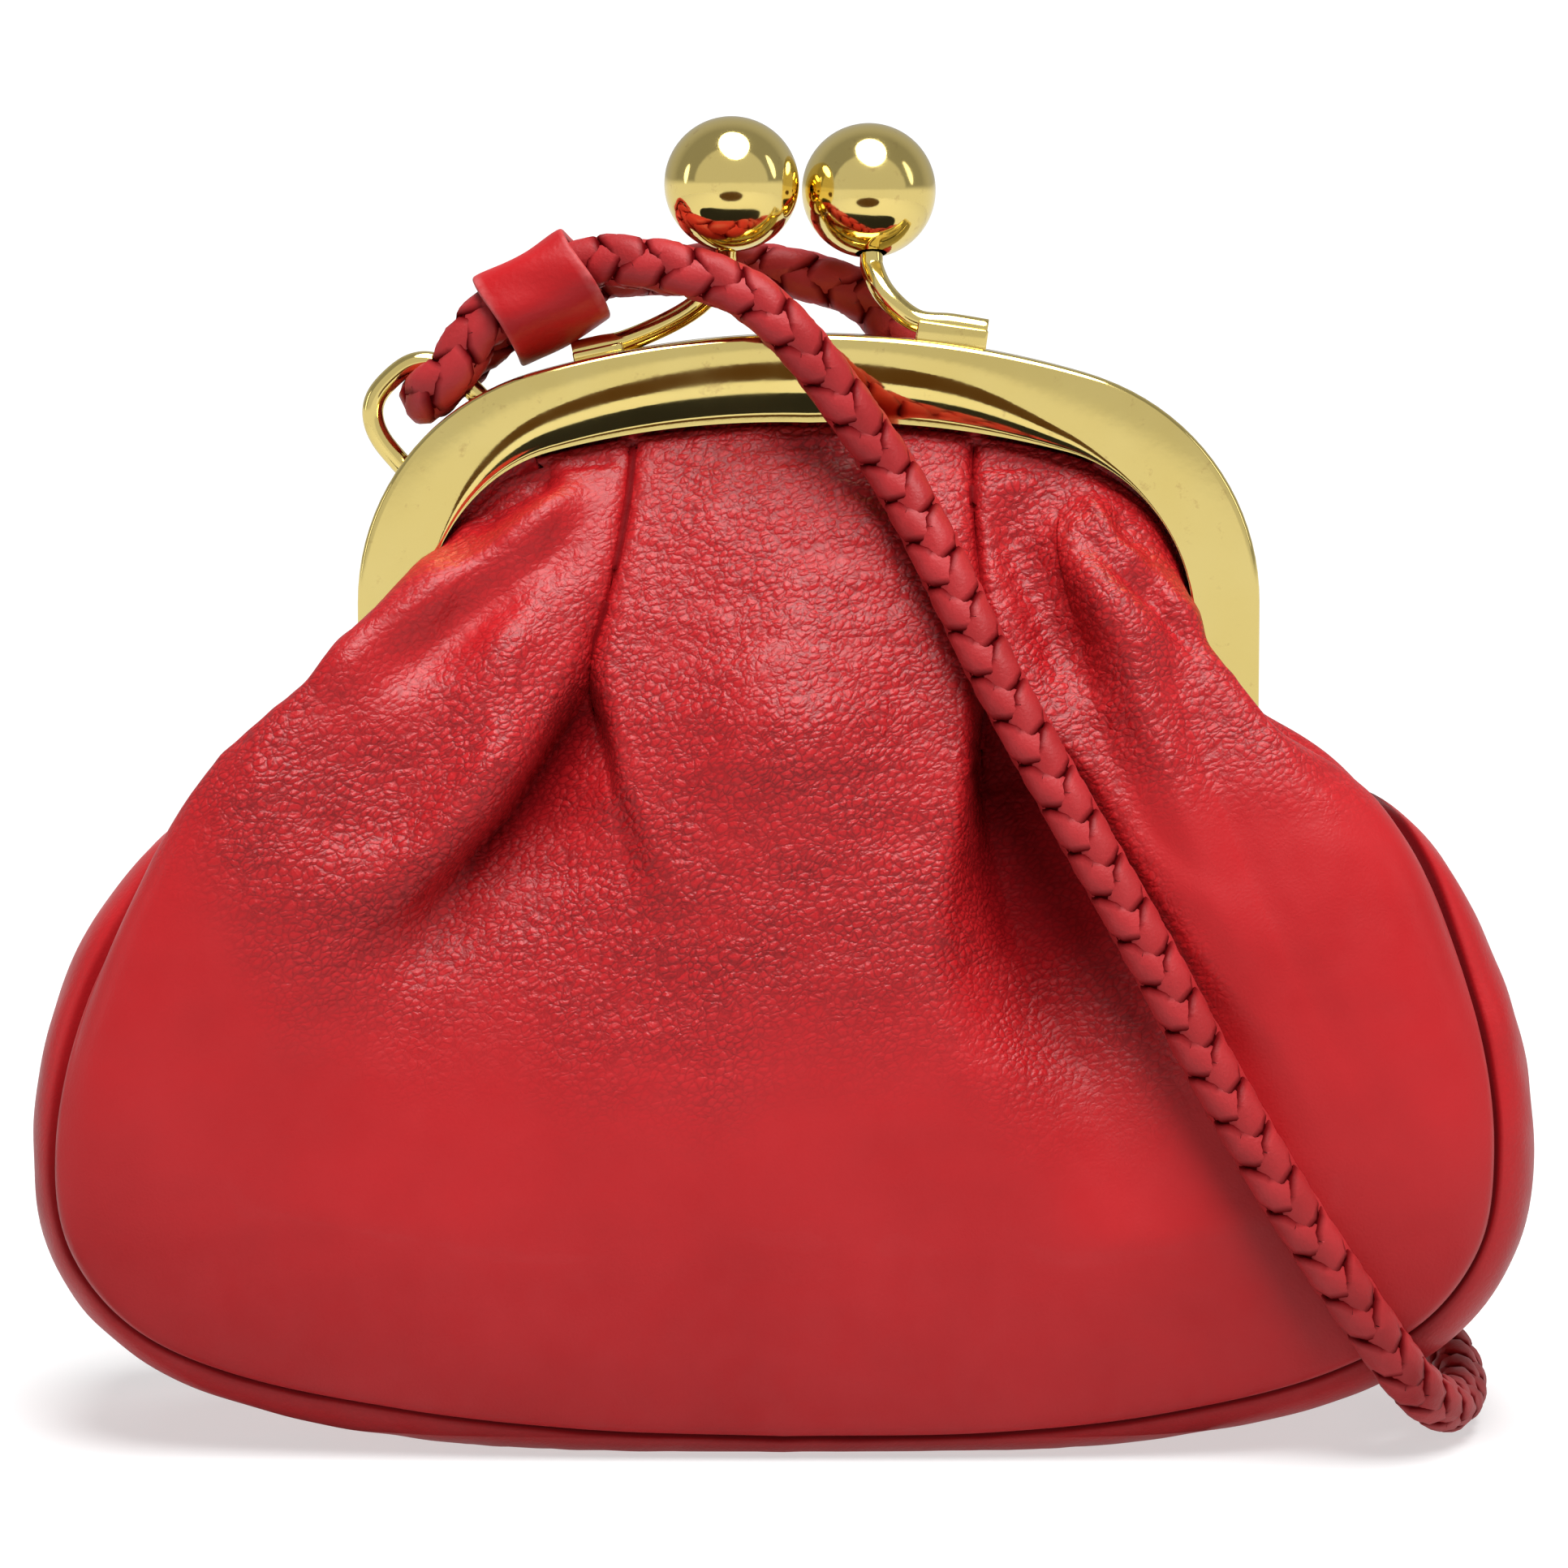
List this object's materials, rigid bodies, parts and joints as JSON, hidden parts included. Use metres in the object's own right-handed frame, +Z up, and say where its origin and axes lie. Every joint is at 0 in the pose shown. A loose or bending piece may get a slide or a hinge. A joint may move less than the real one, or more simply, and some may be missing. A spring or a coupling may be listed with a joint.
{
  "type": "kiss-lock frame handbag",
  "caption": "Small soft leather frame purse with pleated panels, a gold kiss-lock frame with ball clasps, and a braided wrist strap held by a leather keeper.",
  "frame": {"origin": "on the ground under the middle of the pouch", "axes": "+X to the right across the purse as seen from the front, +Y to the back, +Z up; the front faces -Y"},
  "size_m": [0.1738, 0.0703, 0.1526],
  "materials": {
    "leather": "soft satin grain",
    "gold": "polished gold plate"
  },
  "bodies": {
    "root": {"front_panel": "leather", "back_panel": "leather", "gusset": "leather", "strap": "leather", "strap_keeper": "leather", "front_frame": "gold", "back_frame": "gold", "front_ball": "gold", "back_ball": "gold", "left_rivet": "gold", "right_rivet": "gold", "strap_ring": "gold"}
  },
  "joints": []
}
